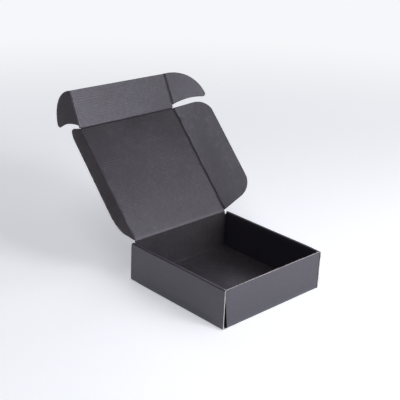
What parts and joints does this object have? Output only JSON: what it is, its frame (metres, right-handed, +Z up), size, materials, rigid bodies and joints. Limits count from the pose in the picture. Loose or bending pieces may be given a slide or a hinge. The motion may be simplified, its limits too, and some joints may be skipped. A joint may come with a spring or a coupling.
{
  "type": "corrugated mailer box",
  "caption": "Shallow square mailer box of black corrugated board with double rolled side walls and a hinged lid with side flaps and an eared tuck flap, shown open.",
  "frame": {"origin": "centre of the tray's underside, on the surface that the box stands on", "axes": "+X to the right and +Y towards the back seen from the front wall, +Z up; the lid is hinged on the back wall"},
  "size_m": [0.2646, 0.317, 0.2288],
  "materials": {
    "board": "matt black kraft liners on both faces of thin fluted board, brown only at the cut edges"
  },
  "bodies": {
    "tray": {"tray": "board"},
    "lid": {"lid": "board"},
    "side_flap_left": {"side_flap_left": "board"},
    "side_flap_right": {"side_flap_right": "board"},
    "tuck_flap": {"tuck_flap": "board"},
    "tuck_ear_left": {"tuck_ear_left": "board"},
    "tuck_ear_right": {"tuck_ear_right": "board"}
  },
  "joints": [
    {"name": "lid_hinge", "type": "hinge", "parent": "tray", "child": "lid", "pos_m": [0, 0.08735, 0.055], "axis": [-1, 0, 0], "range_deg": [-132.5, 39.5]},
    {"name": "side_crease_right", "type": "hinge", "parent": "lid", "child": "side_flap_right", "pos_m": [0.0838, 0.08688, 0.05545], "axis": [0, 0.6858, 0.7278], "range_deg": [-133, 40]},
    {"name": "side_crease_left", "type": "hinge", "parent": "lid", "child": "side_flap_left", "pos_m": [-0.0838, 0.08688, 0.05545], "axis": [0, -0.6858, -0.7278], "range_deg": [-133, 40]},
    {"name": "tuck_crease", "type": "hinge", "parent": "lid", "child": "tuck_flap", "pos_m": [0, 0.20484, 0.18062], "axis": [1, 0, 0], "range_deg": [-16.5, 75]},
    {"name": "ear_crease_right", "type": "hinge", "parent": "tuck_flap", "child": "tuck_ear_right", "pos_m": [0.0854, 0.20484, 0.18062], "axis": [0, -0.4431, -0.8965], "range_deg": [-31.85, 143]},
    {"name": "ear_crease_left", "type": "hinge", "parent": "tuck_flap", "child": "tuck_ear_left", "pos_m": [-0.0854, 0.20484, 0.18062], "axis": [0, 0.4431, 0.8965], "range_deg": [-31.85, 143]}
  ],
  "couplings": [
    {"joint": "side_crease_right", "follows": "lid_hinge", "ratio": 1},
    {"joint": "side_crease_left", "follows": "lid_hinge", "ratio": 1},
    {"joint": "ear_crease_right", "follows": "tuck_crease", "ratio": 1.9},
    {"joint": "ear_crease_left", "follows": "tuck_crease", "ratio": 1.9}
  ]
}
